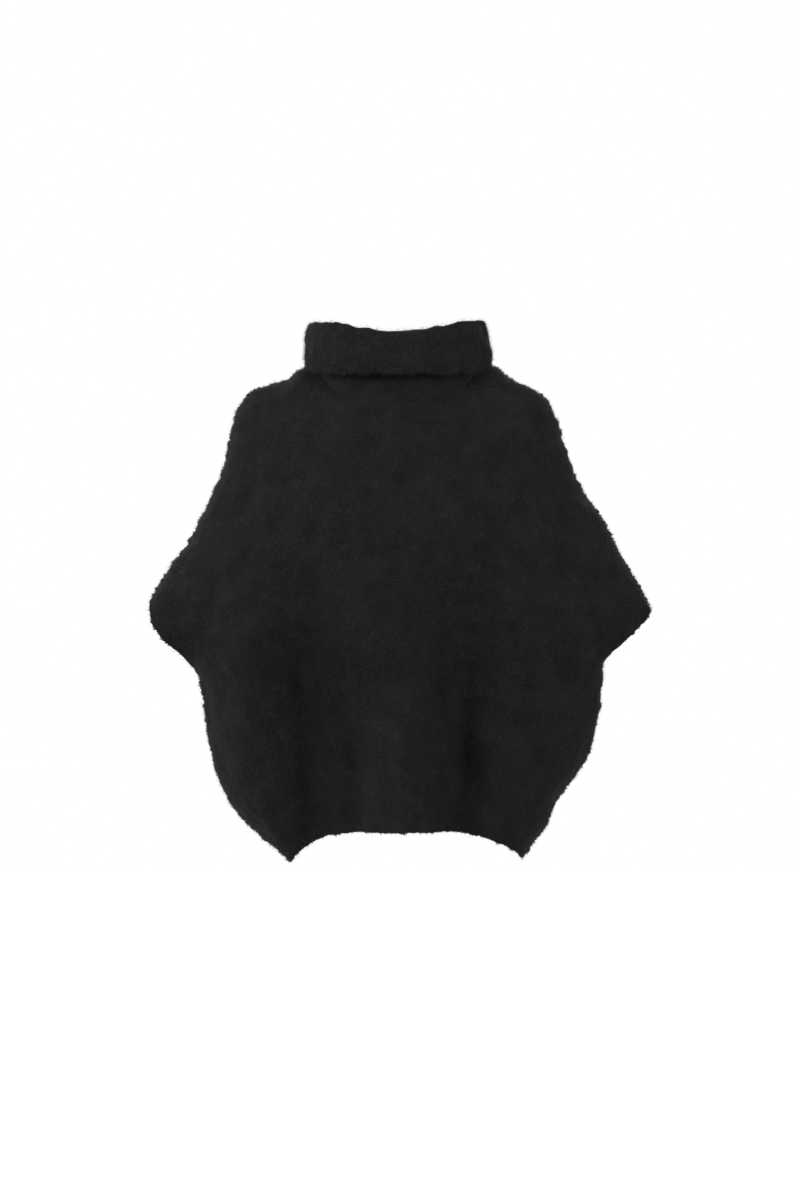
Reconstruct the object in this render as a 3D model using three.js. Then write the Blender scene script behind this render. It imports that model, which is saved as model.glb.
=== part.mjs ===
// A turtleneck poncho in brushed knit, in the hollow shape it takes when worn.
// Millimetres, +Z up, the front faces -Y. The origin lies between the wearer's shoulders.
import * as THREE from 'three';

const WALL = 3; // thickness of the brushed knit
const SEAM_GAP = 0.3; // clearance between two sewn pieces

const FRONT = -1; // the side of a panel is also the sign of its Y
const BACK = 1;

// Steps of each panel down the shoulder seam, the sleeve edge and the side seam, and across.
const SHOULDER_STEPS = 9;
const SLEEVE_STEPS = 6;
const SIDE_STEPS = 9;
const ACROSS_STEPS = 32;
const TURN_SPREAD = 0.25; // how much closer together the steps across are in a panel's middle

// Steps of the collar round the neck, which meet the panels' own, and along the knit from its
// seam over the fold to its free edge.
const COLLAR_STEPS_ROUND = 2 * ACROSS_STEPS;
const COLLAR_STEPS_ALONG = 12;
const SAME_TURN = 1e-6; // two turns this near are the same one

const SLEEVE_HALF_OPENING = 42; // half the depth of a sleeve's mouth
const MOUTH_REACH = 7; // how soon a sleeve's mouth gives way to the body: higher is sooner
const MOUTH_ROUND = 0.6; // how pointed the mouth is above: lower is rounder, 1 is as it is below

// The panels' outline, seen from the front. at runs 0 to 1 down the shoulder seam, 1 to 2 down
// the sleeve edge and 2 to 3 down the side seam. The outline turns sharply at the corners.
const OUTLINE = [
  { at: 0.0, leftX: -124, leftZ: 27, rightX: 119, rightZ: 32, corner: true },
  { at: 0.06, leftX: -145, leftZ: 18.5, rightX: 140, rightZ: 22.5 },
  { at: 0.12, leftX: -163.5, leftZ: 4.5, rightX: 161, rightZ: 6 },
  { at: 0.2, leftX: -192, leftZ: -3, rightX: 185, rightZ: -5.5 },
  { at: 0.27, leftX: -215, leftZ: -13.5, rightX: 209, rightZ: -19 },
  { at: 0.33, leftX: -231.5, leftZ: -33.5, rightX: 219.5, rightZ: -36.5 },
  { at: 0.4, leftX: -241, leftZ: -64.5, rightX: 230, rightZ: -64.5 },
  { at: 0.5, leftX: -254, leftZ: -121.5, rightX: 248, rightZ: -121.5 },
  { at: 0.6, leftX: -270, leftZ: -159.5, rightX: 267, rightZ: -159 },
  { at: 0.7, leftX: -288, leftZ: -197.5, rightX: 294, rightZ: -197 },
  { at: 0.78, leftX: -304, leftZ: -229, rightX: 309, rightZ: -229.5 },
  { at: 0.86, leftX: -327.5, leftZ: -261, rightX: 328, rightZ: -261 },
  { at: 1.0, leftX: -360, leftZ: -313.5, rightX: 363.5, rightZ: -326, corner: true },
  { at: 1.15, leftX: -359.5, leftZ: -333.5, rightX: 358, rightZ: -337.5 },
  { at: 1.3, leftX: -355, leftZ: -349, rightX: 347, rightZ: -349 },
  { at: 1.5, leftX: -341, leftZ: -368.5, rightX: 331, rightZ: -365 },
  { at: 1.7, leftX: -318, leftZ: -387.5, rightX: 313.5, rightZ: -380 },
  { at: 1.85, leftX: -301.5, leftZ: -405.5, rightX: 301.5, rightZ: -391.5 },
  { at: 2.0, leftX: -290.5, leftZ: -421, rightX: 293.5, rightZ: -401.5, corner: true },
  { at: 2.08, leftX: -285.5, leftZ: -436.5, rightX: 292, rightZ: -414 },
  { at: 2.2, leftX: -281, leftZ: -462, rightX: 290, rightZ: -440 },
  { at: 2.35, leftX: -277, leftZ: -498.5, rightX: 285, rightZ: -482.5 },
  { at: 2.5, leftX: -268.5, leftZ: -540.5, rightX: 274, rightZ: -525.5 },
  { at: 2.65, leftX: -252, leftZ: -588.5, rightX: 249, rightZ: -571 },
  { at: 2.78, leftX: -231, leftZ: -621.5, rightX: 222.5, rightZ: -608 },
  { at: 2.9, leftX: -200, leftZ: -653, rightX: 208, rightZ: -642 },
  { at: 3.0, leftX: -157.5, leftZ: -687.5, rightX: 179.5, rightZ: -680.5, corner: true },
];

// The sections across the body. The z columns are the height at the middle of each panel, the
// deep ones its depth there, and side is the depth over the arm or beside the side seam. round is
// how full a section is near its seams, taper how fast the body falls away to the arms, and the
// bends how late the row leaves the height of its middle toward each seam.
const SECTIONS = [
  {
    at: 0.0, frontZ: -29, frontDeep: 95, backZ: 6, backDeep: 88,
    side: 84, round: 2, taper: 0.6, leftBend: 5.5, rightBend: 5.5,
  },
  {
    at: 0.25, frontZ: -98, frontDeep: 119, backZ: -68, backDeep: 114,
    side: 64, round: 4, taper: 1, leftBend: 4, rightBend: 4,
  },
  {
    at: 0.5, frontZ: -171, frontDeep: 135, backZ: -150, backDeep: 126,
    side: 61, round: 6, taper: 1.2, leftBend: 3, rightBend: 3,
  },
  {
    at: 0.75, frontZ: -244, frontDeep: 142, backZ: -232, backDeep: 130,
    side: 57, round: 8, taper: 1.6, leftBend: 3, rightBend: 3,
  },
  {
    at: 1.0, frontZ: -316, frontDeep: 143, backZ: -312, backDeep: 130,
    side: 54, round: 10, taper: 2, leftBend: 3, rightBend: 3,
  },
  {
    at: 1.5, frontZ: -370, frontDeep: 142, backZ: -368, backDeep: 128,
    side: 52, round: 8, taper: 1.6, leftBend: 3, rightBend: 3,
  },
  {
    at: 2.0, frontZ: -424, frontDeep: 136, backZ: -424, backDeep: 124,
    side: 52, round: 7, taper: 1.2, leftBend: 4, rightBend: 4,
  },
  {
    at: 2.25, frontZ: -480, frontDeep: 131, backZ: -480, backDeep: 122,
    side: 53, round: 6.5, taper: 1, leftBend: 4, rightBend: 4,
  },
  {
    at: 2.5, frontZ: -536, frontDeep: 130, backZ: -536, backDeep: 122,
    side: 54, round: 6, taper: 0.9, leftBend: 4, rightBend: 4,
  },
  {
    at: 2.75, frontZ: -590, frontDeep: 134, backZ: -592, backDeep: 125,
    side: 58, round: 5, taper: 0.8, leftBend: 4.3, rightBend: 3.8,
  },
  {
    at: 3.0, frontZ: -642.5, frontDeep: 140, backZ: -649, backDeep: 130,
    side: 62, round: 4, taper: 0.7, leftBend: 4.3, rightBend: 3.2,
  },
];

// The largest folds, each from a top point to a bottom one. rise is outward; a trough sinks.
const FOLDS = [
  { side: FRONT, topX: -142, topZ: -245, bottomX: -122, bottomZ: -820, rise: -42, width: 60 },
  { side: FRONT, topX: -160, topZ: -320, bottomX: -114, bottomZ: -830, rise: -34, width: 30 },
  { side: FRONT, topX: -74, topZ: -400, bottomX: -56, bottomZ: -830, rise: -24, width: 28 },
  { side: FRONT, topX: 96, topZ: -225, bottomX: 92, bottomZ: -820, rise: -48, width: 60 },
  { side: FRONT, topX: 96, topZ: -310, bottomX: 86, bottomZ: -830, rise: -22, width: 34 },
  { side: FRONT, topX: 12, topZ: -380, bottomX: 16, bottomZ: -820, rise: 24, width: 27 },
  { side: FRONT, topX: -234, topZ: -215, bottomX: -222, bottomZ: -760, rise: 20, width: 36 },
  { side: FRONT, topX: 250, topZ: -270, bottomX: 244, bottomZ: -760, rise: 18, width: 40 },
  { side: BACK, topX: -128, topZ: -250, bottomX: -112, bottomZ: -820, rise: -52, width: 58 },
  { side: BACK, topX: 138, topZ: -260, bottomX: 118, bottomZ: -820, rise: -50, width: 60 },
  { side: BACK, topX: 6, topZ: -380, bottomX: 8, bottomZ: -820, rise: 12, width: 42 },
  { side: BACK, topX: -240, topZ: -230, bottomX: -222, bottomZ: -760, rise: 16, width: 38 },
  { side: BACK, topX: 246, topZ: -250, bottomX: 232, bottomZ: -760, rise: 16, width: 40 },
];
const FOLD_FADE = 150; // length over which a fold grows from nothing and dies away

// The collar round the neck: turn 0 at the right shoulder, 90 at the front, 180 at the left.
// top is the height of the fold and edge that of the free edge that hangs outside. lean is how far
// the fold leans outward and bow how far the knit bows in halfway up between the seam and the fold.
const COLLAR = [
  { turn: 0, top: 89, edge: 31, lean: 2, bow: 0 },
  { turn: 12, top: 91, edge: 24, lean: 2, bow: 0 },
  { turn: 25, top: 92, edge: 17, lean: 1, bow: 0 },
  { turn: 45, top: 86.5, edge: 14.5, lean: 0, bow: 2 },
  { turn: 65, top: 76, edge: 13.5, lean: 0, bow: 6 },
  { turn: 90, top: 73, edge: 13, lean: 0, bow: 8 },
  { turn: 115, top: 78, edge: 13.5, lean: 0, bow: 6 },
  { turn: 135, top: 86, edge: 14.5, lean: 0.5, bow: 2 },
  { turn: 155, top: 90, edge: 17, lean: 2, bow: 0 },
  { turn: 168, top: 89, edge: 23, lean: 3, bow: 0 },
  { turn: 180, top: 88, edge: 29, lean: 3, bow: 0 },
  { turn: 225, top: 89, edge: 20, lean: 2, bow: 2 },
  { turn: 270, top: 84, edge: 14, lean: 0, bow: 4 },
  { turn: 315, top: 89, edge: 20, lean: 1, bow: 2 },
  { turn: 360, top: 89, edge: 31, lean: 2, bow: 0 },
];

// The collar's knit as it rises from the neck seam, folds over and hangs. out is the distance
// outside the neck seam. share is the part of the way up from the seam, or up from the free edge.
const STAND = [
  { out: -4, share: 0.16 },
  { out: -4.5, share: 0.5 },
  { out: -3.5, share: 0.88 },
];
const TURN_DOWN = [
  { out: 6.5, share: 0.88 },
  { out: 9.5, share: 0.5 },
  { out: 12, share: 0.2 },
  { out: 9.5, share: 0.0 },
];
const FOLD_OUT = 2; // distance of the fold's crest outside the neck seam
const OUTER_BOW = 0.6; // how far the hanging layer bows out, as a part of the inner one's bow
const SEAM_LEAD = 5; // length over which the collar still runs on from the panel

const knit = new THREE.MeshStandardMaterial({ color: 0x212121, roughness: 0.95, metalness: 0 });

// A value between two rows of a table, read smoothly by key, with a break in slope at a corner.
function read(table, key, column, at) {
  const last = table.length - 1;
  const i = THREE.MathUtils.clamp(table.findIndex((row) => row[key] > at) - 1, 0, last - 1);
  const k = at >= table[last][key] ? last - 1 : i;
  const steepness = (a, b) => (table[b][column] - table[a][column]) / (table[b][key] - table[a][key]);
  const slope = (n) => {
    const sharp = table[n].corner || n === 0 || n === last;
    return sharp ? steepness(k, k + 1) : steepness(n - 1, n + 1);
  };
  const span = table[k + 1][key] - table[k][key];
  const t = (at - table[k][key]) / span;
  const rest = 1 - t;
  return (
    table[k][column] * (1 + 2 * t) * rest * rest +
    table[k + 1][column] * (3 - 2 * t) * t * t +
    slope(k) * span * t * rest * rest -
    slope(k + 1) * span * t * t * rest
  );
}

// How far the folds push one side's cloth outward at a point seen from the front.
function foldRise(side, x, z) {
  let rise = 0;
  for (const fold of FOLDS.filter((row) => row.side === side)) {
    const share = (fold.topZ - z) / (fold.topZ - fold.bottomZ);
    const offset = x - THREE.MathUtils.lerp(fold.topX, fold.bottomX, share);
    const grown = THREE.MathUtils.smoothstep(fold.topZ - z, 0, FOLD_FADE);
    const kept = THREE.MathUtils.smoothstep(z - fold.bottomZ, 0, FOLD_FADE);
    rise += fold.rise * grown * kept * Math.exp(-((offset / fold.width) ** 2));
  }
  return rise;
}

// Half the depth of the sleeve's mouth at a place on the sleeve edge, and nothing on the seams.
// The mouth is round above and drawn to a point below.
function mouthDepth(at) {
  const share = THREE.MathUtils.clamp(at - 1, 0, 1);
  return SLEEVE_HALF_OPENING * Math.sin(Math.PI * share) ** (share < 0.5 ? MOUTH_ROUND : 1);
}

// A point in the middle of a panel's wall. turn runs from 0 at the right seam to PI at the left.
function bodyPoint(side, at, turn) {
  const outline = (column) => read(OUTLINE, 'at', column, at);
  const section = (column) => read(SECTIONS, 'at', column, at);
  const across = Math.cos(turn);
  const middleX = (outline('leftX') + outline('rightX')) / 2;
  const halfWidth = (outline('rightX') - outline('leftX')) / 2;
  const seamZ = across > 0 ? outline('rightZ') : outline('leftZ');
  const middleZ = section(side === FRONT ? 'frontZ' : 'backZ');
  const deep = section(side === FRONT ? 'frontDeep' : 'backDeep');
  const away = Math.abs(across);
  const inner = Math.max(0, 1 - across * across);
  const x = middleX + halfWidth * across;
  const z = middleZ + (seamZ - middleZ) * away ** section(across > 0 ? 'rightBend' : 'leftBend');
  const arm = section('side') * Math.sqrt(Math.max(0, 1 - away ** section('round')));
  const body = (deep - section('side')) * inner ** section('taper');
  const mouth = mouthDepth(at) * away ** MOUTH_REACH;
  const depth = Math.hypot(arm, mouth) + body + foldRise(side, x, z) * Math.sqrt(inner);
  return new THREE.Vector3(x, side * (depth + SEAM_GAP / 2), z);
}

// The direction down a panel and the one out of it, at a point of its wall.
function bodyDirections(side, at, turn) {
  const step = 0.01;
  const inTurn = THREE.MathUtils.clamp(turn, step, Math.PI - step);
  const piece = Math.min(Math.floor(at), 2);
  const above = bodyPoint(side, Math.max(at - step, piece), inTurn);
  const down = bodyPoint(side, Math.min(at + step, piece + 1), inTurn).sub(above);
  const across = bodyPoint(side, at, inTurn - step).sub(bodyPoint(side, at, inTurn + step));
  const out = new THREE.Vector3().crossVectors(across, down).multiplyScalar(side);
  const onSeam = inTurn !== turn && mouthDepth(at) === 0;
  if (onSeam) {
    out.y = 0;
    down.y = 0;
  }
  return { down: down.normalize(), out: out.normalize() };
}

// A closed wall of the knit's thickness round a grid of points, each with its outward direction.
// A ring closes on itself from its last column to its first; flip turns all its faces over.
function wallGeometry(grid, ring, flip) {
  const columns = grid[0].length;
  const lastRow = grid.length - 1;
  const positions = [];
  for (const share of [WALL / 2, -WALL / 2]) {
    for (const { point, out } of grid.flat()) {
      positions.push(...point.clone().addScaledVector(out, share).toArray());
    }
  }
  const inside = grid.length * columns;
  const index = (row, column) => row * columns + (column % columns);
  const faces = [];
  const quad = (a, b, c, d) => (flip ? faces.push(a, c, b, a, d, c) : faces.push(a, b, c, a, c, d));
  const lastColumn = ring ? columns : columns - 1;
  for (let row = 0; row < lastRow; row += 1) {
    for (let column = 0; column < lastColumn; column += 1) {
      const corners = [
        index(row, column),
        index(row + 1, column),
        index(row + 1, column + 1),
        index(row, column + 1),
      ];
      quad(...corners);
      quad(...corners.reverse().map((n) => n + inside));
    }
  }
  for (let column = 0; column < lastColumn; column += 1) {
    const [top, topNext] = [index(0, column), index(0, column + 1)];
    const [low, lowNext] = [index(lastRow, column), index(lastRow, column + 1)];
    quad(top, topNext, topNext + inside, top + inside);
    quad(lowNext, low, low + inside, lowNext + inside);
  }
  for (let row = 0; row < lastRow && !ring; row += 1) {
    const [first, below] = [index(row, 0), index(row + 1, 0)];
    const [end, endBelow] = [index(row, columns - 1), index(row + 1, columns - 1)];
    quad(below, first, first + inside, below + inside);
    quad(end, endBelow, endBelow + inside, end + inside);
  }
  const geometry = new THREE.BufferGeometry();
  geometry.setAttribute('position', new THREE.Float32BufferAttribute(positions, 3));
  geometry.setIndex(faces);
  geometry.computeVertexNormals();
  return geometry;
}

// The places of a panel's rows down its edges.
function rowPlaces() {
  const seams = [SHOULDER_STEPS, SLEEVE_STEPS, SIDE_STEPS];
  const places = seams.flatMap((steps, seam) => Array.from({ length: steps }, (_, n) => seam + n / steps));
  return [...places, seams.length];
}

// The turn of a panel's column, counted from its right seam.
function columnTurn(n) {
  const share = n / ACROSS_STEPS;
  return Math.PI * share + (TURN_SPREAD / 2) * Math.sin(2 * Math.PI * share);
}

function panel(name, side) {
  const grid = rowPlaces().map((at) =>
    Array.from({ length: ACROSS_STEPS + 1 }, (_, n) => {
      const turn = columnTurn(n);
      return { point: bodyPoint(side, at, turn), out: bodyDirections(side, at, turn).out };
    }),
  );
  const mesh = new THREE.Mesh(wallGeometry(grid, false, side === FRONT), knit.clone());
  mesh.name = name;
  return mesh;
}

// An arch over a share from 0 to 1: nothing at its ends and 1 halfway.
function arch(share) {
  return 4 * share * (1 - share);
}

// The line of the collar's knit at one turn, from the neck seam over the fold to the free edge.
function collarLine(turn) {
  const side = turn > Math.PI ? BACK : FRONT;
  const bodyTurn = side === FRONT ? turn : 2 * Math.PI - turn;
  const onSeam = Math.abs(Math.sin(turn)) < SAME_TURN;
  const seam = bodyPoint(side, 0, bodyTurn);
  if (onSeam) {
    seam.y = 0;
  }
  const { down } = bodyDirections(side, 0, bodyTurn);
  const start = seam.clone().addScaledVector(down, -SEAM_GAP);
  const lead = seam.clone().addScaledVector(down, -SEAM_LEAD);
  const degrees = THREE.MathUtils.radToDeg(turn);
  const top = read(COLLAR, 'turn', 'top', degrees) - WALL / 2;
  const edge = read(COLLAR, 'turn', 'edge', degrees);
  const lean = read(COLLAR, 'turn', 'lean', degrees);
  const bow = read(COLLAR, 'turn', 'bow', degrees);
  const place = (out, z) => {
    const level = new THREE.Vector3(seam.x, seam.y, 0);
    return level.addScaledVector(level.clone().normalize(), out).setZ(z);
  };
  const bowed = (row, most) => row.out + lean * row.share + most * arch(row.share);
  const lerp = THREE.MathUtils.lerp;
  return new THREE.CatmullRomCurve3([
    start,
    lead,
    ...STAND.map((row) => place(bowed(row, -bow), lerp(seam.z, top, row.share))),
    place(FOLD_OUT + lean, top),
    ...TURN_DOWN.map((row) => place(bowed(row, OUTER_BOW * bow), lerp(edge, top, row.share))),
  ]);
}

function collar(name) {
  const lines = Array.from({ length: COLLAR_STEPS_ROUND }, (_, n) =>
    collarLine(n <= ACROSS_STEPS ? columnTurn(n) : 2 * Math.PI - columnTurn(COLLAR_STEPS_ROUND - n)),
  );
  const grid = Array.from({ length: COLLAR_STEPS_ALONG + 1 }, (_, step) =>
    lines.map((line, n) => {
      const share = step / COLLAR_STEPS_ALONG;
      const next = lines[(n + 1) % COLLAR_STEPS_ROUND].getPointAt(share);
      const previous = lines.at(n - 1).getPointAt(share);
      const out = new THREE.Vector3().crossVectors(line.getTangentAt(share), next.sub(previous));
      return { point: line.getPointAt(share), out: out.normalize() };
    }),
  );
  const mesh = new THREE.Mesh(wallGeometry(grid, true, false), knit.clone());
  mesh.name = name;
  return mesh;
}

const poncho = new THREE.Group();
poncho.add(panel('front_panel', FRONT), panel('back_panel', BACK), collar('turtleneck_collar'));

export default poncho;
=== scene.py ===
"""Looks for the turtleneck poncho: two brushed knit panels and a folded collar, worn by nobody."""

import bpy
import numpy as np
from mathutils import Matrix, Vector


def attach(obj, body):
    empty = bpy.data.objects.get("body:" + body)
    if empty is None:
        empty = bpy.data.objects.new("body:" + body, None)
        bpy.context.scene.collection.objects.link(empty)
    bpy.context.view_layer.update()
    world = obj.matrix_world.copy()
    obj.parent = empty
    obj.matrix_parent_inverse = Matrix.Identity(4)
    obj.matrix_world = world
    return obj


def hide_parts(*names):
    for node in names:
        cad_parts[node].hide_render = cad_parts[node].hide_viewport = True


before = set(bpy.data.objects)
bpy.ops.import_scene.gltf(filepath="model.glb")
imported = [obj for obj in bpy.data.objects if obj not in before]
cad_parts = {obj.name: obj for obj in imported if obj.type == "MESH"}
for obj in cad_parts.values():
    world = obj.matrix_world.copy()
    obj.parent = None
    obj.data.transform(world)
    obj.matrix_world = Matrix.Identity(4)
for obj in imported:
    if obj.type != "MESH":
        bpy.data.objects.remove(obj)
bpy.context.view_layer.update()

MM = 0.001
WALL = 3.0  # thickness of the knit, in millimetres as all sizes here are until a mesh is made
FRONT, BACK = -1, 1  # the side of a panel is also the sign of its Y
TINY = 1e-9  # keeps a length that is divided by off zero

# ---- tables -----------------------------------------------------------------------------------
# The panels' outline. at runs 0 to 1 down the shoulder seam, 1 to 2 down the sleeve edge and
# 2 to 3 down the side seam. The last column marks a corner.
OUTLINE = [
    ("at", "left_x", "left_z", "right_x", "right_z", "corner"),
    (0.0, -124, 27, 119, 32, 1),
    (0.06, -145, 18.5, 140, 22.5, 0),
    (0.12, -163.5, 4.5, 161, 6, 0),
    (0.2, -192, -3, 185, -5.5, 0),
    (0.27, -215, -13.5, 209, -19, 0),
    (0.33, -231.5, -33.5, 219.5, -36.5, 0),
    (0.4, -241, -64.5, 230, -64.5, 0),
    (0.5, -254, -121.5, 248, -121.5, 0),
    (0.6, -270, -159.5, 267, -159, 0),
    (0.7, -288, -197.5, 294, -197, 0),
    (0.78, -304, -229, 309, -229.5, 0),
    (0.86, -327.5, -261, 328, -261, 0),
    (1.0, -360, -313.5, 363.5, -326, 1),
    (1.15, -359.5, -333.5, 358, -337.5, 0),
    (1.3, -355, -349, 347, -349, 0),
    (1.5, -341, -368.5, 331, -365, 0),
    (1.7, -318, -387.5, 313.5, -380, 0),
    (1.85, -301.5, -405.5, 301.5, -391.5, 0),
    (2.0, -290.5, -421, 293.5, -401.5, 1),
    (2.08, -285.5, -436.5, 292, -414, 0),
    (2.2, -281, -462, 290, -440, 0),
    (2.35, -277, -498.5, 285, -482.5, 0),
    (2.5, -268.5, -540.5, 274, -525.5, 0),
    (2.65, -252, -588.5, 249, -571, 0),
    (2.78, -231, -621.5, 222.5, -608, 0),
    (2.9, -200, -653, 208, -642, 0),
    (3.0, -157.5, -687.5, 179.5, -680.5, 1),
]

# The sections across the body: height and depth at the middle of each panel, depth at the side
# over the arm, how full the side is, how fast the body falls away to it, and how late a row
# leaves the height of its middle.
SECTIONS = [
    ("at", "front_z", "front_deep", "back_z", "back_deep", "side", "round", "taper", "left_bend",
     "right_bend"),
    (0.0, -29, 95, 6, 88, 84, 2, 0.6, 5.5, 5.5),
    (0.25, -98, 119, -68, 114, 64, 4, 1, 4, 4),
    (0.5, -171, 135, -150, 126, 61, 6, 1.2, 3, 3),
    (0.75, -244, 142, -232, 130, 57, 8, 1.6, 3, 3),
    (1.0, -316, 143, -312, 130, 54, 10, 2.0, 3, 3),
    (1.5, -370, 142, -368, 128, 52, 8, 1.6, 3, 3),
    (2.0, -424, 136, -424, 124, 52, 7, 1.2, 4, 4),
    (2.25, -480, 131, -480, 122, 53, 6.5, 1.0, 4, 4),
    (2.5, -536, 130, -536, 122, 54, 6, 0.9, 4, 4),
    (2.75, -590, 134, -592, 125, 58, 5, 0.8, 4.3, 3.8),
    (3.0, -642.5, 140, -649, 130, 62, 4, 0.7, 4.3, 3.2),
]

# The largest folds, each from a top point to a bottom one. rise is outward; a trough sinks.
FOLDS = [
    ("side", "top_x", "top_z", "bottom_x", "bottom_z", "rise", "width"),
    (FRONT, -142, -245, -122, -820, -42, 60),
    (FRONT, -160, -320, -114, -830, -34, 30),
    (FRONT, -74, -400, -56, -830, -24, 28),
    (FRONT, 96, -225, 92, -820, -48, 60),
    (FRONT, 96, -310, 86, -830, -22, 34),
    (FRONT, 12, -380, 16, -820, 24, 27),
    (FRONT, -234, -215, -222, -760, 20, 36),
    (FRONT, 250, -270, 244, -760, 18, 40),
    (BACK, -128, -250, -112, -820, -52, 58),
    (BACK, 138, -260, 118, -820, -50, 60),
    (BACK, 6, -380, 8, -820, 12, 42),
    (BACK, -240, -230, -222, -760, 16, 38),
    (BACK, 246, -250, 232, -760, 16, 40),
]

# Softer, shorter creases between two points of a panel as seen from the front.
CREASES = [
    ("side", "x0", "z0", "x1", "z1", "rise", "width"),
    (FRONT, -92, -31, 62, -31, -2.5, 7),
    (FRONT, -60, -262, -30, -330, 5, 40),
    (FRONT, 140, -390, 150, -560, -10, 26),
    (FRONT, -122, -440, -108, -650, -11, 24),
    (FRONT, 90, -440, 88, -600, -7, 24),
    (FRONT, 50, -400, 56, -570, -9, 18),
    (FRONT, 252, -240, 290, -400, -6, 13),
    (FRONT, 262, -300, 330, -345, 3, 16),
    (FRONT, -262, -262, -288, -402, -4, 14),
    (FRONT, -300, -318, -338, -350, -3, 12),
    (FRONT, -282, -424, -170, -330, 3, 20),
    (FRONT, 286, -402, 180, -318, 3, 20),
    (FRONT, -86, -440, -74, -520, -4, 16),
    (FRONT, 168, -380, 178, -540, -12, 22),
    (FRONT, -206, -322, -200, -420, 9, 26),
    (FRONT, 200, -540, 196, -620, -4, 16),
    (FRONT, -216, -520, -208, -640, -7, 16),
    (FRONT, 56, -560, 62, -660, -4, 14),
    (FRONT, -56, -580, -60, -660, -3, 14),
    (FRONT, -150, -90, -60, -190, 2.5, 26),
    (FRONT, 140, -110, 70, -210, -2.5, 26),
    (FRONT, -206, -110, -246, -240, -3, 18),
    (FRONT, 206, -120, 240, -230, -3, 18),
    (BACK, -262, -262, -286, -400, -5, 14),
    (BACK, 256, -250, 288, -394, -5, 14),
    (BACK, -280, -420, -160, -300, 4, 22),
    (BACK, 284, -404, 170, -290, 4, 22),
    (BACK, -60, -440, -50, -560, -4, 18),
    (BACK, 76, -520, 70, -650, -5, 16),
    (BACK, -190, -500, -176, -630, -5, 16),
    (BACK, -140, -60, -40, -120, -3, 26),
    (BACK, 150, -70, 50, -130, -3, 26),
    (BACK, -30, -170, 44, -190, 2.5, 24),
]

# The collar round the neck, by turn in degrees from the right shoulder past the front: the
# heights of its fold and of its free edge, how far the fold leans out, and how far the stand
# bows in halfway up.
COLLAR = [
    ("turn", "top", "edge", "lean", "bow"),
    (0, 89, 31, 2, 0),
    (12, 91, 24, 2, 0),
    (25, 92, 17, 1, 0),
    (45, 86.5, 14.5, 0, 2),
    (65, 76, 13.5, 0, 6),
    (90, 73, 13, 0, 8),
    (115, 78, 13.5, 0, 6),
    (135, 86, 14.5, 0.5, 2),
    (155, 90, 17, 2, 0),
    (168, 89, 23, 3, 0),
    (180, 88, 29, 3, 0),
    (225, 89, 20, 2, 2),
    (270, 84, 14, 0, 4),
    (315, 89, 20, 1, 2),
    (360, 89, 31, 2, 0),
]

# The line of the collar's knit: distance outside the neck seam, and share of the way up. It
# goes up the stand, over the fold and down the outside to the free edge.
STAND = [(-4, 0.16), (-4.5, 0.5), (-3.5, 0.88)]
TURN_DOWN = [(6.5, 0.88), (9.5, 0.5), (12, 0.2), (9.5, 0.0)]
FOLD_OUT = 2.0  # the fold's own distance outside the neck seam
OUTER_BOW = 0.6  # how far the hanging layer bows out, as a share of the stand's bow
SEAM_LEAD = 5.0  # length along which the collar carries on the slope of the panels


# ---- curves -----------------------------------------------------------------------------------
def read(table, column, at):
    """A column of a table at each place, smooth between its rows, with a break at a corner."""
    names = table[0]
    rows = np.array(table[1:], float)
    keys, values = rows[:, 0], rows[:, names.index(column)]
    sharp = rows[:, names.index("corner")] > 0 if "corner" in names else np.zeros(len(keys), bool)
    sharp[[0, -1]] = True
    at = np.asarray(at, float)
    k = np.clip(np.searchsorted(keys, at, side="right") - 1, 0, len(keys) - 2)
    span = np.diff(keys)
    steep = np.diff(values) / span
    through = np.zeros(len(keys))
    through[1:-1] = (values[2:] - values[:-2]) / (keys[2:] - keys[:-2])
    first = np.where(sharp[k], steep[k], through[k])
    last = np.where(sharp[k + 1], steep[k], through[k + 1])
    t = (at - keys[k]) / span[k]
    rest = 1 - t
    return (
        values[k] * (1 + 2 * t) * rest**2
        + values[k + 1] * (3 - 2 * t) * t**2
        + first * span[k] * t * rest**2
        - last * span[k] * t**2 * rest
    )


def smooth_step(value, low, high):
    """From 0 at low to 1 at high, level at both."""
    t = np.clip((value - low) / (high - low), 0, 1)
    return t * t * (3 - 2 * t)


def unit(vectors):
    """The same directions with a length of one."""
    return vectors / np.maximum(np.linalg.norm(vectors, axis=-1, keepdims=True), TINY)


def travelled(points, axis):
    """The distance along a grid of points in one of its directions."""
    steps = np.linalg.norm(np.diff(points, axis=axis), axis=-1)
    padding = [(0, 0), (0, 0)]
    padding[axis] = (1, 0)
    return np.pad(np.cumsum(steps, axis=axis), padding)


# ---- the panels' form -------------------------------------------------------------------------
SLEEVE_HALF_OPENING = 42.0  # half the depth of a sleeve's open end
MOUTH_REACH = 7.0  # how fast that depth fades, going in from the end over the arm
MOUTH_ROUND = 0.6  # below 1, the upper half of the opening is rounder than a sine
FOLD_FADE = 150.0  # length over which a large fold grows from nothing at each end
CREASE_LEAD = 0.3  # share of a crease's length over which it runs on past either end
CREASE_GROWN = 0.4  # share of its length at which it has its whole rise
CREASE_EDGE = 3.0  # how soon the creases are whole, going in from a side seam
STEP = 0.004  # the step in at and turn over which directions are measured


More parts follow.
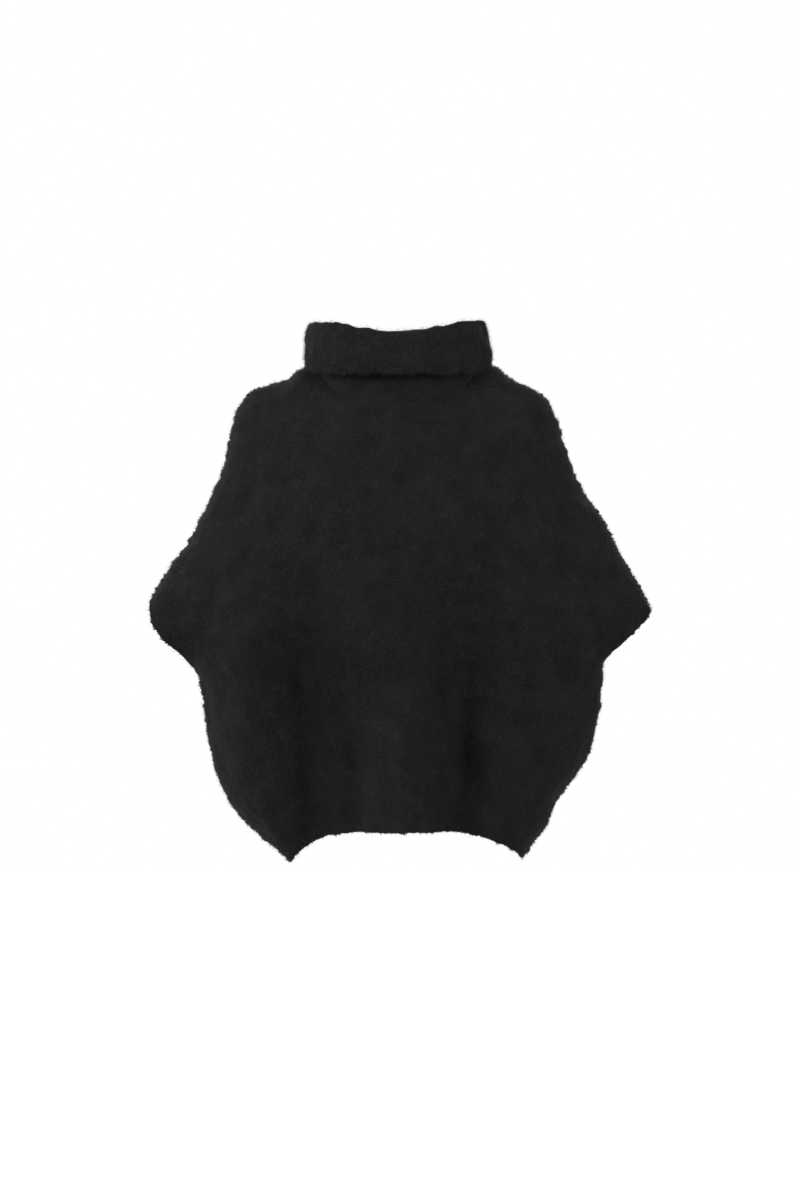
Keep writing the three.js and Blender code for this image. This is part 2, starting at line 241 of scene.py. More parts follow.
def fold_rise(side, x, z):
    """How far the large folds push the cloth outward."""
    rise = np.zeros_like(x)
    for fold_side, top_x, top_z, bottom_x, bottom_z, height, width in FOLDS[1:]:
        if fold_side != side:
            continue
        share = (top_z - z) / (top_z - bottom_z)
        offset = x - (top_x + (bottom_x - top_x) * share)
        grown = smooth_step(top_z - z, 0, FOLD_FADE) * smooth_step(z - bottom_z, 0, FOLD_FADE)
        rise += height * grown * np.exp(-((offset / width) ** 2))
    return rise


def crease_rise(side, x, z):
    """How far the small creases push the cloth outward."""
    rise = np.zeros_like(x)
    for crease_side, x0, z0, x1, z1, height, width in CREASES[1:]:
        if crease_side != side:
            continue
        length = np.hypot(x1 - x0, z1 - z0)
        along = ((x - x0) * (x1 - x0) + (z - z0) * (z1 - z0)) / length
        across = ((x - x0) * (z1 - z0) - (z - z0) * (x1 - x0)) / length
        window = smooth_step(along, -CREASE_LEAD * length, CREASE_GROWN * length)
        fade = (CREASE_LEAD + CREASE_GROWN) * length
        window = window * smooth_step((1 + CREASE_LEAD) * length - along, 0, fade)
        rise += height * window * np.exp(-((across / width) ** 2))
    return rise


def mouth_depth(at):
    """Half the depth of the sleeve's mouth down its edge: round above, drawn to a point below."""
    share = np.clip(at - 1, 0, 1)
    return SLEEVE_HALF_OPENING * np.sin(np.pi * share) ** np.where(share < 0.5, MOUTH_ROUND, 1.0)


def body_point(side, at, turn):
    """A point in the middle of a panel's wall; turn runs from 0 at the right seam to pi."""
    across = np.cos(turn)
    left_x, right_x = read(OUTLINE, "left_x", at), read(OUTLINE, "right_x", at)
    seam_z = np.where(across > 0, read(OUTLINE, "right_z", at), read(OUTLINE, "left_z", at))
    middle_z = read(SECTIONS, "front_z" if side == FRONT else "back_z", at)
    deep = read(SECTIONS, "front_deep" if side == FRONT else "back_deep", at)
    arm_deep = read(SECTIONS, "side", at)
    away = np.abs(across)
    inner = np.maximum(0, 1 - across**2)
    x = (left_x + right_x) / 2 + (right_x - left_x) / 2 * across
    bend = np.where(across > 0, read(SECTIONS, "right_bend", at), read(SECTIONS, "left_bend", at))
    z = middle_z + (seam_z - middle_z) * away**bend
    arm = arm_deep * np.sqrt(np.maximum(0, 1 - away ** read(SECTIONS, "round", at)))
    body = (deep - arm_deep) * inner ** read(SECTIONS, "taper", at)
    small = crease_rise(side, x, z) * np.minimum(1, CREASE_EDGE * inner)
    depth = np.hypot(arm, mouth_depth(at) * away**MOUTH_REACH) + body
    depth = depth + fold_rise(side, x, z) * np.sqrt(inner) + small
    return np.stack([x, side * depth, z], -1)


def body_directions(side, at, turn):
    """The directions down a panel, out of it and across it."""
    in_turn = np.clip(turn, STEP, np.pi - STEP)
    piece = np.minimum(np.floor(at), 2)
    down = body_point(side, np.minimum(at + STEP, piece + 1), in_turn)
    down = down - body_point(side, np.maximum(at - STEP, piece), in_turn)
    across = body_point(side, at, in_turn - STEP) - body_point(side, at, in_turn + STEP)
    out = np.cross(across, down) * side
    on_seam = (in_turn != turn) & (mouth_depth(at) == 0)
    out[on_seam, 1] = 0
    down[on_seam, 1] = 0
    return unit(down), unit(out), unit(across)


# ---- unevenness -------------------------------------------------------------------------------
# The kinds of it: the size across and the height of a slow ripple and of two kinds of clumps.
PANEL_UNEVEN, PANEL_UNEVEN_SEED = ((70, 1.0), (24, 0.5), (11, 0.4)), 11
EDGE_WANDER, EDGE_WANDER_SEED = ((34, 0.6), (9, 0.35), (5, 0.35)), 15
COLLAR_UNEVEN, COLLAR_UNEVEN_SEED = ((60, 1.0), (24, 0.5), (11, 0.4)), 21
EDGE_LENGTH, EDGE_RISE, EDGE_SEED = 46, 0.9, 24  # the ripple of the collar's free edge
UNEVEN_EDGE = 4.0  # how soon the panels' unevenness is whole, going in from a side seam
RIPPLE_WAVES = 14
RIPPLE_PITCH = (0.6, 1.5)  # fewest and most lengths of a wave in the ripple's size
CLUMP_VALUES = 4096  # random values that the cells of the clumps share
CLUMP_STRIDES = np.array([1, 57, 1131])  # steps through them along X, Y and Z
CLUMP_GAIN = 1.7  # brings the spread of the blended values back to about one


def ripple(points, size, seed):
    """A smooth seeded unevenness, about size across, with a spread below one."""
    rng = np.random.default_rng(seed)
    total = np.zeros(points.shape[:-1])
    for _ in range(RIPPLE_WAVES):
        direction = rng.normal(size=3)
        direction *= rng.uniform(*RIPPLE_PITCH) / np.linalg.norm(direction)
        total += np.sin(points @ direction * 2 * np.pi / size + rng.uniform(0, 2 * np.pi))
    return total / np.sqrt(RIPPLE_WAVES)


def clumps(points, size, seed):
    """A seeded unevenness in clumps about size across, with a spread near one."""
    table = np.random.default_rng(seed).normal(size=CLUMP_VALUES)
    cell = points / size
    low = np.floor(cell).astype(int)
    t = smooth_step(cell - low, 0, 1)
    total = np.zeros(points.shape[:-1])
    for corner in np.ndindex(2, 2, 2):
        index = (low + corner) @ CLUMP_STRIDES
        total += np.where(corner, t, 1 - t).prod(axis=-1) * table[index % len(table)]
    return total * CLUMP_GAIN


def uneven(points, kinds, seed):
    """A ripple and clumps together, each kind with its size across and its height."""
    (length, height), *finer = kinds
    total = height * ripple(points, length, seed)
    for step, (size, rise) in enumerate(finer, 1):
        total = total + rise * clumps(points, size, seed + step)
    return total


# ---- the knit's wall --------------------------------------------------------------------------
SHARP_FROM = 50.0  # angle in degrees from which an edge of the wall shades as sharp
KNIT_UV = "knit"


def wall_faces(rows, columns, ring):
    """The quads of a closed wall: outer points first, row by row, then as many inner ones."""
    index = np.arange(rows * columns).reshape(rows, columns)
    if ring:
        index = np.concatenate([index, index[:, :1]], axis=1)
    a, b, c, d = index[:-1, :-1], index[1:, :-1], index[1:, 1:], index[:-1, 1:]
    quads = np.stack([a, b, c, d], -1).reshape(-1, 4)
    inside = rows * columns
    borders = [index[0], index[-1, ::-1]]
    if not ring:
        borders += [index[::-1, 0], index[:, -1]]
    rims = [np.stack([line[:-1], line[1:], line[1:] + inside, line[:-1] + inside], -1)
            for line in borders]
    return np.concatenate([quads, quads[:, ::-1] + inside, *rims])


def add_knit_uv(mesh, middle):
    """A UV map of the lengths along the knit, in metres, the same on both faces of the wall."""
    lengths = np.stack([travelled(middle, 1), travelled(middle, 0)], -1).reshape(-1, 2) * MM
    uv = mesh.uv_layers.new(name=KNIT_UV)
    corners = np.empty(len(mesh.loops), np.int32)
    mesh.loops.foreach_get("vertex_index", corners)
    uv.data.foreach_set("uv", lengths[corners % len(lengths)].ravel())


def wall_mesh(name, middle, out, ring=False, flip=False):
    """A closed wall of the knit's thickness round a grid; a ring's last column meets its first."""
    outer = (middle + out * WALL / 2).reshape(-1, 3)
    inner = (middle - out * WALL / 2).reshape(-1, 3)
    faces = wall_faces(*middle.shape[:2], ring)
    if flip:
        faces = faces[:, ::-1]
    mesh = bpy.data.meshes.new(name)
    mesh.from_pydata(np.concatenate([outer, inner]) * MM, [], faces.tolist())
    add_knit_uv(mesh, middle)
    mesh.validate()
    mesh.shade_smooth()
    mesh.set_sharp_from_angle(angle=np.radians(SHARP_FROM))
    return mesh


def add_part(mesh, materials):
    """An object for a mesh of the garment, carried by its one body."""
    for material in materials:
        mesh.materials.append(material)
    part = bpy.data.objects.new(mesh.name, mesh)
    bpy.context.scene.collection.objects.link(part)
    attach(part, "root")
    return part


# ---- pile -------------------------------------------------------------------------------------
# The hairs on each part: how many, their shortest and longest length, how steeply they rise, and
# how far they are combed down the knit.
PILES = [
    ("name", "count", "seed", "length", "lift", "comb"),
    ("front_knit_pile", 62000, 31, (4, 13), (0.2, 0.9), 0.5),
    ("back_knit_pile", 62000, 32, (4, 13), (0.2, 0.9), 0.5),
    ("collar_pile", 18000, 33, (4, 13), (0.25, 1.0), 0.2),
    ("collar_stand_pile", 7000, 34, (4, 11), (0.2, 0.8), 0.2),
    ("collar_edge_pile", 6000, 35, (5, 11), (0.05, 0.5), 2.5),
]
HAIR_TONES = (0.013, 0.025, 0.045)  # grey of each of the hairs' materials
HAIR_PATCH, HAIR_PATCH_SEED = 12, 5  # hairs of like tone stand in patches about this wide
PATCH_SHARE, TONE_SPREAD = 0.6, 0.8  # how far the patch and chance decide a hair's tone
HAIR_SHORTNESS = 2.0  # above 1, most hairs are nearer the shortest length
HAIR_WIDTH = 0.26
HAIR_WIDTHS = (0.6, 1.3)  # shares of that width
HAIR_BEND = (0.1, 0.5)  # shares of its rise that a hair keeps past its knee
HAIR_SWAY = 0.25  # spread of its lean to either side
HAIR_FALL = 0.15  # how far a hair's end turns down the knit
HAIR_KNEE = 0.5  # share of its length to the knee
HAIR_KNEE_WIDTH = 0.72  # share of its width at the knee
HAIR_ROOT = 0.4  # depth in the knit at which it starts

TUFT_SEEDS = {"front_knit_tufts": 51, "back_knit_tufts": 52, "collar_tufts": 61}
TUFT_SPACING = 0.45
TUFT_PATCH = 4.0  # tufts stand thick and thin in patches about this wide
TUFT_BARE = -0.7  # patches thinner than this are bare
TUFT_GROWTH = (0.75, 0.5)  # a tuft's share of its length, and what a thick patch adds
TUFT_GROWN = (0.3, 1.4)  # least and most of that share
TUFT_LENGTH = (1.4, 4.2)
TUFT_SHORTNESS = 2.5
TUFT_HALF_WIDTH = 0.7
TUFT_WIDTHS = (0.5, 1.4)  # shares of that width
TUFT_LEAN_ALONG, TUFT_LEAN_OUT = 0.45, 0.3  # spread of its lean along the edge and off the knit
TUFT_TURN = 0.5  # spread of the turn at its knee
TUFT_KNEE = 0.6  # share of its length to the knee
TUFT_KNEE_WIDTH = 0.5  # share of its width at the knee
TUFT_ROOT = 0.8  # depth in the knit at which it starts
STRAND_POINTS, STRAND_CORNERS = 5, 7  # a quad and a triangle on one of its sides


def scatter(points, count, rng):
    """Random places on a grid, even over its area: the lower corner and the share beyond it."""
    edge_a = points[1:, :-1] - points[:-1, :-1]
    edge_b = points[:-1, 1:] - points[:-1, :-1]
    area = np.linalg.norm(np.cross(edge_a, edge_b), axis=-1).ravel()
    chosen = rng.choice(len(area), size=count, p=area / area.sum())
    row, column = np.divmod(chosen, points.shape[1] - 1)
    return row, column, rng.random((count, 1)), rng.random((count, 1))


def blended(grid, place):
    """The values of a grid at places from scatter."""
    row, column, s, t = place
    low = grid[row, column] * (1 - t) + grid[row, column + 1] * t
    high = grid[row + 1, column] * (1 - t) + grid[row + 1, column + 1] * t
    return low * (1 - s) + high * s


def strand_points(start, knee, tip, half, narrow):
    """The four corners and the tip of each strand; half is half its width at the start."""
    return np.stack([start - half, start + half, knee + half * narrow, knee - half * narrow, tip], 1)


def strand_mesh(name, points, shades):
    """One joined mesh of strands, each a quad and its tip, with the number of its material."""
    count = len(points)
    base = np.arange(count)[:, None] * STRAND_POINTS
    mesh = bpy.data.meshes.new(name)
    mesh.vertices.add(count * STRAND_POINTS)
    mesh.vertices.foreach_set("co", (points * MM).ravel())
    quads = base + np.array([0, 1, 2, 3])
    tips = base + np.array([3, 2, 4])
    loops = np.concatenate([quads, tips], axis=1).ravel()
    starts = (np.arange(count)[:, None] * STRAND_CORNERS + np.array([0, 4])).ravel()
    mesh.loops.add(len(loops))
    mesh.loops.foreach_set("vertex_index", loops.astype(np.int32))
    mesh.polygons.add(count * 2)
    mesh.polygons.foreach_set("loop_start", starts.astype(np.int32))
    mesh.polygons.foreach_set("material_index", np.repeat(shades, 2).astype(np.int32))
    mesh.update(calc_edges=True)
    return mesh


def hair_points(root, out, down, across, rng, length, lift, comb):
    """Curved tapering hairs that leave the knit and bend over."""
    each = (len(root), 1)
    size = length[0] + (length[1] - length[0]) * rng.random(each) ** HAIR_SHORTNESS
    turn = rng.uniform(0, 2 * np.pi, each)
    lean = unit(np.cos(turn) * across + np.sin(turn) * down + comb * down)
    rise = rng.uniform(*lift, each)
    bend = rng.uniform(*HAIR_BEND, each)
    sway = unit(np.cross(out, lean)) * rng.normal(0, HAIR_SWAY, each)
    first = unit(lean + out * rise + sway)
    second = unit(lean + out * rise * bend - sway + down * HAIR_FALL)
    half = unit(np.cross(first, rng.normal(size=root.shape))) * HAIR_WIDTH / 2
    half = half * rng.uniform(*HAIR_WIDTHS, each)
    knee = root + first * size * HAIR_KNEE
    tip = knee + second * size * (1 - HAIR_KNEE)
    return strand_points(root - out * HAIR_ROOT, knee, tip, half, HAIR_KNEE_WIDTH)


def hair_shades(root, rng):
    """Which of the hair tones each hair has."""
    patch = clumps(root, HAIR_PATCH, HAIR_PATCH_SEED) * PATCH_SHARE
    patch = patch + rng.normal(0, TONE_SPREAD, len(root))
    return np.clip(np.floor(patch + len(HAIR_TONES) / 2), 0, len(HAIR_TONES) - 1)


def add_pile(name, grids, hairs):
    """The brushed pile on a part, as one joined mesh."""
    _, count, seed, *shape = next(row for row in PILES if row[0] == name)
    middle, out, down, across = grids
    rng = np.random.default_rng(seed)
    surface = middle + out * WALL / 2
    place = scatter(surface, count, rng)
    root, normal, fall, side = (blended(g, place) for g in (surface, out, down, across))
    points = hair_points(root, unit(normal), unit(fall), unit(side), rng, *shape)
    return add_part(strand_mesh(name, points, hair_shades(root, rng)), hairs)


def tuft_points(roots, normals, ways, rng, seed):
    """The tufts along one edge, given by its points, their normals and the ways off the knit."""
    travel = np.pad(np.cumsum(np.linalg.norm(np.diff(roots, axis=0), axis=1)), (1, 0))
    place = rng.uniform(0, travel[-1], int(travel[-1] / TUFT_SPACING))
    root, normal, away = (
        np.stack([np.interp(place, travel, values[:, k]) for k in range(3)], -1)
        for values in (roots, normals, ways)
    )
    thick = clumps(root, TUFT_PATCH, seed)
    kept = thick > TUFT_BARE
    root, normal, away = root[kept], unit(normal[kept]), unit(away[kept])
    each = (len(root), 1)
    along = unit(np.cross(normal, away))
    shortest, longest = TUFT_LENGTH
    size = shortest + (longest - shortest) * rng.random(each) ** TUFT_SHORTNESS
    size *= np.clip(TUFT_GROWTH[0] + TUFT_GROWTH[1] * thick[kept, None], *TUFT_GROWN)
    half = along * TUFT_HALF_WIDTH * rng.uniform(*TUFT_WIDTHS, each)
    lean_along = along * rng.normal(0, TUFT_LEAN_ALONG, each)
    lean = unit(away + lean_along + normal * rng.normal(0, TUFT_LEAN_OUT, each))
    start = root + normal * rng.uniform(-1, 1, each) - away * TUFT_ROOT
    knee = start + lean * (size * TUFT_KNEE + TUFT_ROOT)
    tip = knee + unit(lean + along * rng.normal(0, TUFT_TURN, each)) * size * (1 - TUFT_KNEE)
    return strand_points(start, knee, tip, half, TUFT_KNEE_WIDTH)


def add_tufts(name, lines, hair):
    """Short felted tufts of pile that stand off the edges, as one joined mesh."""
    seed = TUFT_SEEDS[name]
    rng = np.random.default_rng(seed)
    points = np.concatenate([tuft_points(*line, rng, seed) for line in lines])
    return add_part(strand_mesh(name, points, np.zeros(len(points))), [hair])


# ---- materials --------------------------------------------------------------------------------
KNIT_DARK = (0.007, 0.007, 0.007, 1)
KNIT_PALE = (0.017, 0.017, 0.017, 1)


def new_material(name):
    """A material and its Principled shader."""
    material = bpy.data.materials.new(name)
    material.use_nodes = True
    return material, material.node_tree.nodes["Principled BSDF"]


def noise(nodes, links, place, scale, detail):
    """A noise texture on the object's own coordinates."""
    texture = nodes.new("ShaderNodeTexNoise")
    texture.inputs["Scale"].default_value = scale
    texture.inputs["Detail"].default_value = detail
    links.new(place.outputs["Object"], texture.inputs["Vector"])
    return texture


def stitch_waves(nodes, links):
    """Faint wales of stitches, which run down the knit."""
    uv = nodes.new("ShaderNodeUVMap")
    uv.uv_map = KNIT_UV
    stitches = nodes.new("ShaderNodeTexWave")
    stitches.wave_type = "BANDS"
    stitches.bands_direction = "X"
    stitches.inputs["Scale"].default_value = 70
    stitches.inputs["Distortion"].default_value = 3
    stitches.inputs["Detail"].default_value = 2
    stitches.inputs["Detail Scale"].default_value = 3
    links.new(uv.outputs["UV"], stitches.inputs["Vector"])
    return stitches


def bump(nodes, links, height, strength, distance):
    """A bump of a height, given in metres."""
    raised = nodes.new("ShaderNodeBump")
    raised.inputs["Strength"].default_value = strength
    raised.inputs["Distance"].default_value = distance
    links.new(height.outputs["Fac"], raised.inputs["Height"])
    return raised


def knit_material():
    """Brushed black knit: clouded pile over faint stitches, with a soft sheen."""
    material, shader = new_material("brushed_knit")
    nodes, links = material.node_tree.nodes, material.node_tree.links
    shader.inputs["Roughness"].default_value = 0.92
    shader.inputs["Specular IOR Level"].default_value = 0.25
    shader.inputs["Sheen Weight"].default_value = 0.15
    shader.inputs["Sheen Roughness"].default_value = 0.5
    shader.inputs["Sheen Tint"].default_value = (0.35, 0.35, 0.35, 1)
    place = nodes.new("ShaderNodeTexCoord")
    clouds = noise(nodes, links, place, 28, 6)
    clouds.inputs["Roughness"].default_value = 0.65
    tone = nodes.new("ShaderNodeValToRGB")
    dark, pale = tone.color_ramp.elements
    dark.position, pale.position = 0.3, 0.72
    dark.color, pale.color = KNIT_DARK, KNIT_PALE
    links.new(clouds.outputs["Fac"], tone.inputs["Fac"])
    links.new(tone.outputs["Color"], shader.inputs["Base Color"])
    stitches = bump(nodes, links, stitch_waves(nodes, links), 0.35, 0.0006)
    nap = bump(nodes, links, noise(nodes, links, place, 420, 4), 0.7, 0.0012)
    links.new(stitches.outputs["Normal"], nap.inputs["Normal"])
    links.new(nap.outputs["Normal"], shader.inputs["Normal"])
    return material


def hair_material(name, shade):
    """One tone of the pile's hairs."""
    material, shader = new_material(name)
    shader.inputs["Base Color"].default_value = (shade, shade, shade, 1)
    shader.inputs["Roughness"].default_value = 0.6
    shader.inputs["Specular IOR Level"].default_value = 0.4
    shader.inputs["Sheen Weight"].default_value = 0.2
    return material


# ---- panels -----------------------------------------------------------------------------------
# The panels' grid, and how their side seams and hem wander.
PANEL_ROWS = (75, 30, 62)  # down the shoulder seam, the sleeve edge and the side seam
PANEL_COLUMNS = 190
TURN_SPREAD = 0.25  # how far the columns draw together in the middle of a panel
NECK_CALM = 0.2  # the seams' wander is whole from here down
HEM_START, TIP_START = 2.85, 2.97  # where the hem's wander and its tips begin
SEAM_NEAR = 12.0  # how closely the wander in X keeps to the side seams
HEM_NEAR = 0.5  # how soon the wander in Z fades towards the side seams
TIP_DROP, TIP_OFF, TIP_WIDTH = 4.5, 2.2, 3.0  # the hem's tips hang down just off the side seams


def row_places():
    """Where the rows of a panel lie, from the neckline at 0 to the hem at 3."""
    parts = [np.arange(n) / n + k for k, n in enumerate(PANEL_ROWS)]
    return np.concatenate([*parts, [3.0]])


def spread_turns():
    """Places across a panel, closer together in its middle than even turns would be."""
    share = np.linspace(0, 1, PANEL_COLUMNS + 1)
    return np.pi * (share + TURN_SPREAD * np.sin(2 * np.pi * share) / (2 * np.pi))


def roughen_edges(middle, at, turn):
    """Lets the side seams and the hem wander a little, and draws down the hem's tips."""
    wander = uneven(middle * [1, 0, 1], EDGE_WANDER, EDGE_WANDER_SEED)
    across = np.cos(turn)
    near_seam = np.sign(across) * np.abs(across) ** SEAM_NEAR
    off_seam = np.abs(np.sin(turn)) ** HEM_NEAR
    middle[..., 0] += wander * near_seam * smooth_step(at, 0, NECK_CALM)
    middle[..., 2] += wander * off_seam * smooth_step(at, HEM_START, 3)
    x = middle[..., 0]
    from_seam = np.minimum(x[:, :1] - x, x - x[:, -1:])
    tip = np.exp(-(((from_seam - TIP_OFF) / TIP_WIDTH) ** 2))
    middle[..., 2] -= TIP_DROP * smooth_step(at, TIP_START, 3) * tip


def panel_grids(side):
    """The middle of a panel's wall and the directions out of it, down it and across it."""
    at, turn = np.broadcast_arrays(row_places()[:, None], spread_turns()[None, :])
    middle = body_point(side, at, turn)
    down, out, across = body_directions(side, at, turn)
    edge = np.minimum(1, UNEVEN_EDGE * np.sin(turn))
    middle = middle + out * (uneven(middle, PANEL_UNEVEN, PANEL_UNEVEN_SEED) * edge)[..., None]
    roughen_edges(middle, at, turn)
    return middle, out, down, across


def panel_edges(grids):
    """The hem, the sleeve ends and the seams of a panel, as lines for its tufts."""
    middle, out, down, across = grids
    shoulder, sleeve = PANEL_ROWS[0], PANEL_ROWS[0] + PANEL_ROWS[1]
    lines = [(middle[-1], out[-1], down[-1])]
    for column, way in ((0, 1), (-1, -1)):
        lines.append([g[shoulder:sleeve, column] for g in (middle, out, way * across)])
        for run in (slice(0, shoulder), slice(sleeve, None)):
            surface = middle[run, column] + out[run, column] * WALL / 2
            lines.append((surface, across[run, column], out[run, column]))
    return lines


def build_panel(name, node, side, knit, hairs):
    """One panel, its pile and the tufts along its edges."""
    grids = panel_grids(side)
    piece = add_part(wall_mesh(name, grids[0], grids[1], flip=side == FRONT), [knit])
    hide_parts(node)
    pile = add_pile(name + "_pile", grids, hairs)
    tufts = add_tufts(name + "_tufts", panel_edges(grids), hairs[0])


# ---- collar -----------------------------------------------------------------------------------
COLLAR_ROWS, COLLAR_COLUMNS = 80, 240  # from the seam to the free edge, and round the neck
STAND_ROWS = 30  # of those, the rows of the stand that have pile on their outer face too
EDGE_ROWS = 6  # and the rows at the free edge that carry its fringe
CURVE_STEPS = 24  # points between one point of the collar's line and the next
SEAM_CALM = 0.15  # share of the collar's rows over which its unevenness grows from the seam
SAME_TURN = 1e-6  # a turn this near to a shoulder's is at the shoulder


def neck_seam(turn):
    """The points of the neck seam, and the directions down the panels there."""
    seam, down = np.empty((2, len(turn), 3))
    for side in (FRONT, BACK):
        pick = (turn > np.pi) == (side == BACK)
        body_turn = turn[pick] if side == FRONT else 2 * np.pi - turn[pick]
        at = np.zeros(pick.sum())
        seam[pick] = body_point(side, at, body_turn)
        down[pick] = body_directions(side, at, body_turn)[0]
    seam[np.abs(np.sin(turn)) < SAME_TURN, 1] = 0
    return seam, down


def arch(share):
    """From 0 at both ends to 1 in the middle."""
    return 4 * share * (1 - share)


def collar_knots(turn):
    """The points that the collar's line goes through, with one more to lead it at each end."""
    seam, down = neck_seam(turn)
    top, edge, lean, bow = (read(COLLAR, name, np.degrees(turn)) for name in COLLAR[0][1:])
    top = top - WALL / 2
    edge = edge + EDGE_RISE * ripple(seam, EDGE_LENGTH, EDGE_SEED)
    level = seam * [1, 1, 0]

    def place(out, z):
        """A ring of points at a distance outside the seam and a height."""
        point = level + unit(level) * out[:, None]
        point[:, 2] = z
        return point

    knots = [seam, seam - down * SEAM_LEAD]
    for out, share in STAND:
        height = seam[:, 2] + (top - seam[:, 2]) * share
        knots.append(place(out + lean * share - bow * arch(share), height))
    knots.append(place(FOLD_OUT + lean, top))
    for out, share in TURN_DOWN:
        height = edge + (top - edge) * share
        knots.append(place(out + lean * share + OUTER_BOW * bow * arch(share), height))
    return np.stack([2 * knots[0] - knots[1], *knots, 2 * knots[-1] - knots[-2]])


def curve_piece(p0, p1, p2, p3):
    """A smooth curve from the second point to the third, without its last point."""
    d0, d1, d2 = (np.sqrt(np.linalg.norm(b - a, axis=-1, keepdims=True)) + TINY
                  for a, b in ((p0, p1), (p1, p2), (p2, p3)))
    m1 = d1 * ((p1 - p0) / d0 - (p2 - p0) / (d0 + d1)) + (p2 - p1)
    m2 = d1 * ((p3 - p2) / d2 - (p3 - p1) / (d1 + d2)) + (p2 - p1)
    t = (np.arange(CURVE_STEPS) / CURVE_STEPS)[:, None, None]
    return (
        p1 * (1 + 2 * t) * (1 - t) ** 2 + p2 * (3 - 2 * t) * t**2
        + m1 * t * (1 - t) ** 2 - m2 * t**2 * (1 - t)
    )


def evenly_spaced(lines, steps):
    """The same lines, one to a column, with points at even distances."""
    length = travelled(lines, 0)
    share = np.linspace(0, 1, steps + 1)
    points = np.empty((steps + 1, *lines.shape[1:]))
    for column, axis in np.ndindex(lines.shape[1:]):
        travel = length[:, column]
        points[:, column, axis] = np.interp(share * travel[-1], travel, lines[:, column, axis])
    return points


def collar_grids():
    """The middle of the collar's wall, the directions out of it, along its line and round it."""
    knots = collar_knots(np.linspace(0, 2 * np.pi, COLLAR_COLUMNS, endpoint=False))
    pieces = [curve_piece(*knots[k : k + 4]) for k in range(len(knots) - 3)]
    middle = evenly_spaced(np.concatenate([*pieces, knots[-2:-1]]), COLLAR_ROWS)
    along = unit(np.gradient(middle, axis=0))
    around = unit(np.roll(middle, -1, 1) - np.roll(middle, 1, 1))
    out = unit(np.cross(along, around))
    window = smooth_step(np.linspace(0, 1, COLLAR_ROWS + 1), 0, SEAM_CALM)[:, None]
    rise = uneven(middle, COLLAR_UNEVEN, COLLAR_UNEVEN_SEED) * window
    return middle + out * rise[..., None], out, along, around


def build_collar(knit, hairs):
    """The collar, its pile on both layers, the fringe of its free edge and the tufts there."""
    grids = collar_grids()
    mesh = wall_mesh("turtleneck_collar_knit", grids[0], grids[1], ring=True)
    piece = add_part(mesh, [knit])
    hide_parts("turtleneck_collar")
    middle, out, along, around = (np.concatenate([g, g[:, :1]], axis=1) for g in grids)
    low, brim = slice(0, STAND_ROWS), slice(-EDGE_ROWS, None)
    face = add_pile("collar_pile", (middle, -out, along, around), hairs)
    stand = add_pile("collar_stand_pile", [g[low] for g in (middle, out, along, around)], hairs)
    fringe = add_pile("collar_edge_pile", [g[brim] for g in (middle, -out, along, around)], hairs)
    tufts = add_tufts("collar_tufts", [(middle[-1], out[-1], along[-1])], hairs[0])


# ---- stage, in metres -------------------------------------------------------------------------
STANDING_SHOULDER = 1.42  # height of the shoulders above the floor
FLOOR_REACH = 12.0
SHOWN_HEIGHT = 1.74  # how much of the garment's middle plane the picture shows, top to bottom
CENTRE_X, CENTRE_Z = 0.0007, -0.312
LENS, SENSOR = 135.0, 36.0  # in millimetres


def build_floor():
    """A pale floor below the picture."""
    mesh = bpy.data.meshes.new("floor")
    corners = [(-1, -1), (1, -1), (1, 1), (-1, 1)]
    points = [(x * FLOOR_REACH, y * FLOOR_REACH, -STANDING_SHOULDER) for x, y in corners]
    mesh.from_pydata(points, [], [(0, 1, 2, 3)])
    floor = bpy.data.objects.new("floor", mesh)
    bpy.context.scene.collection.objects.link(floor)
    material, shader = new_material("pale_floor")
    shader.inputs["Base Color"].default_value = (0.5, 0.5, 0.5, 1)
    shader.inputs["Roughness"].default_value = 0.9
    shader.inputs["Emission Color"].default_value = (1, 1, 1, 1)
    path = material.node_tree.nodes.new("ShaderNodeLightPath")
    material.node_tree.links.new(path.outputs["Is Camera Ray"], shader.inputs["Emission Strength"])
    mesh.materials.append(material)


# The soft lights: the direction of each from the garment, in degrees, with its azimuth from
# straight in front toward the right side of the picture, and its power.
LIGHTS = [
    ("name", "azimuth", "elevation", "power"),
    ("front_left", -45, 20, 66),
    ("front_right", 45, 20, 67),
    ("side_left", -97, 12, 53),
    ("side_right", 100, 10, 5),
    ("top", 0, 78, 21),
    ("back_left", -155, 30, 44),
    ("back_right", 155, 30, 40),
]
LIGHT_DISTANCE, LIGHT_SIZE = 4.2, 1.8
AMBIENT = 0.05
WHITE = (1, 1, 1, 1)


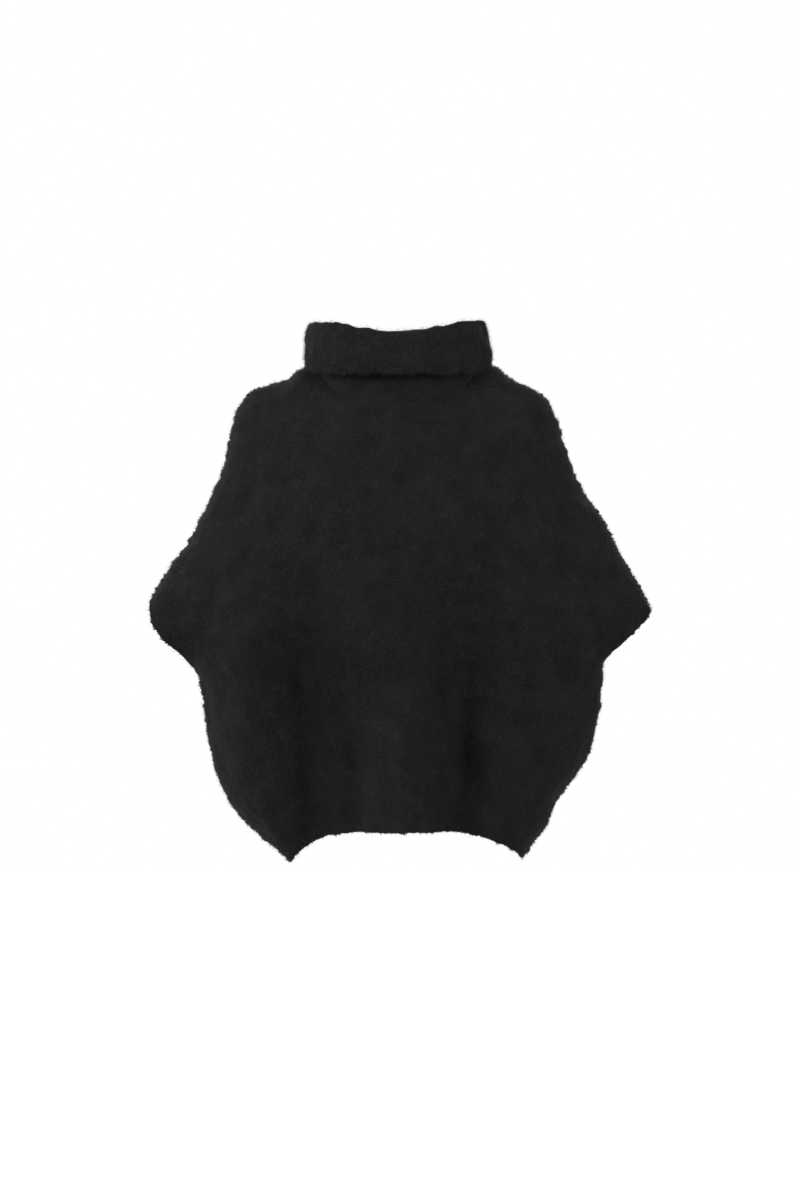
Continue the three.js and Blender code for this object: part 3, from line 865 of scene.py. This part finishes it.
def build_world():
    """A faint ambient light, and plain white where the camera sees past the garment."""
    world = bpy.data.worlds.new("studio")
    bpy.context.scene.world = world
    world.use_nodes = True
    nodes, links = world.node_tree.nodes, world.node_tree.links
    ambient = nodes["Background"]
    ambient.inputs["Color"].default_value = WHITE
    ambient.inputs["Strength"].default_value = AMBIENT
    seen = nodes.new("ShaderNodeBackground")
    seen.inputs["Color"].default_value = WHITE
    path = nodes.new("ShaderNodeLightPath")
    mix = nodes.new("ShaderNodeMixShader")
    links.new(path.outputs["Is Camera Ray"], mix.inputs[0])
    links.new(ambient.outputs[0], mix.inputs[1])
    links.new(seen.outputs[0], mix.inputs[2])
    links.new(mix.outputs[0], nodes["World Output"].inputs[0])


def build_lights():
    """Round soft lights, each facing the middle of the picture."""
    for name, azimuth, elevation, power in LIGHTS[1:]:
        around, up = np.radians((azimuth, elevation))
        level = np.cos(up)
        toward = Vector((np.sin(around) * level, -np.cos(around) * level, np.sin(up)))
        data = bpy.data.lights.new(name, "AREA")
        data.shape = "DISK"
        data.size = LIGHT_SIZE
        data.energy = power
        light = bpy.data.objects.new(name, data)
        light.location = Vector((0, 0, CENTRE_Z)) + toward * LIGHT_DISTANCE
        light.rotation_euler = toward.to_track_quat("Z", "Y").to_euler()
        bpy.context.scene.collection.objects.link(light)


def build_camera():
    """A long lens, level, straight in front of the garment."""
    data = bpy.data.cameras.new("camera")
    data.lens = LENS
    data.sensor_width = SENSOR
    camera = bpy.data.objects.new("camera", data)
    camera.location = (CENTRE_X, -SHOWN_HEIGHT * LENS / SENSOR, CENTRE_Z)
    camera.rotation_euler = (np.pi / 2, 0, 0)
    bpy.context.scene.collection.objects.link(camera)
    bpy.context.scene.camera = camera


build_camera()
build_world()
build_lights()
build_floor()
KNIT = knit_material()
HAIRS = [hair_material(f"hair_{n}", shade) for n, shade in enumerate(HAIR_TONES)]
build_panel("front_knit", "front_panel", FRONT, KNIT, HAIRS)
build_panel("back_knit", "back_panel", BACK, KNIT, HAIRS)
build_collar(KNIT, HAIRS)
bpy.context.scene.view_settings.view_transform = "Standard"
